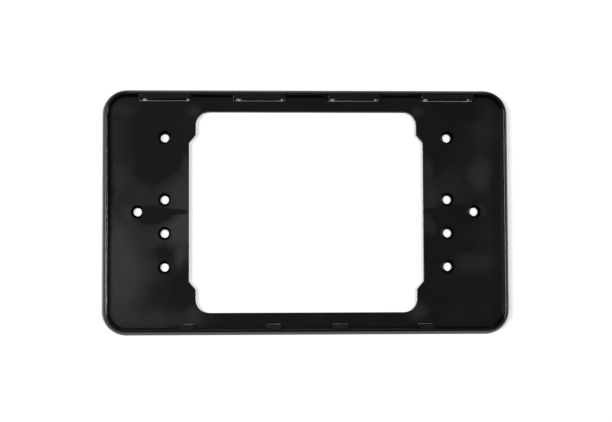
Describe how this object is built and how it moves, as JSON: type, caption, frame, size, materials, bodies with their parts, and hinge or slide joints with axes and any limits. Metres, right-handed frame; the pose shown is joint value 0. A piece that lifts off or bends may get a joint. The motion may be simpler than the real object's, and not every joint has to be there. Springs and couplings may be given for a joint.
{
  "type": "number plate holder",
  "caption": "Flat black plastic frame for a two-line number plate: raised rim, top lips and bottom snap clips round a pocket, central window and countersunk screw holes.",
  "frame": {"origin": "middle of the outline on the plane of the skirt's back edge, which meets the car body", "axes": "+X to the right along the plate's long side, +Y up the plate towards the wide lips, +Z out of the car body"},
  "size_m": [0.3022, 0.182, 0.01],
  "materials": {
    "black_plastic": "black moulded plastic, satin, faintly grained"
  },
  "bodies": {
    "root": {"plate_holder": "black_plastic"}
  },
  "joints": []
}
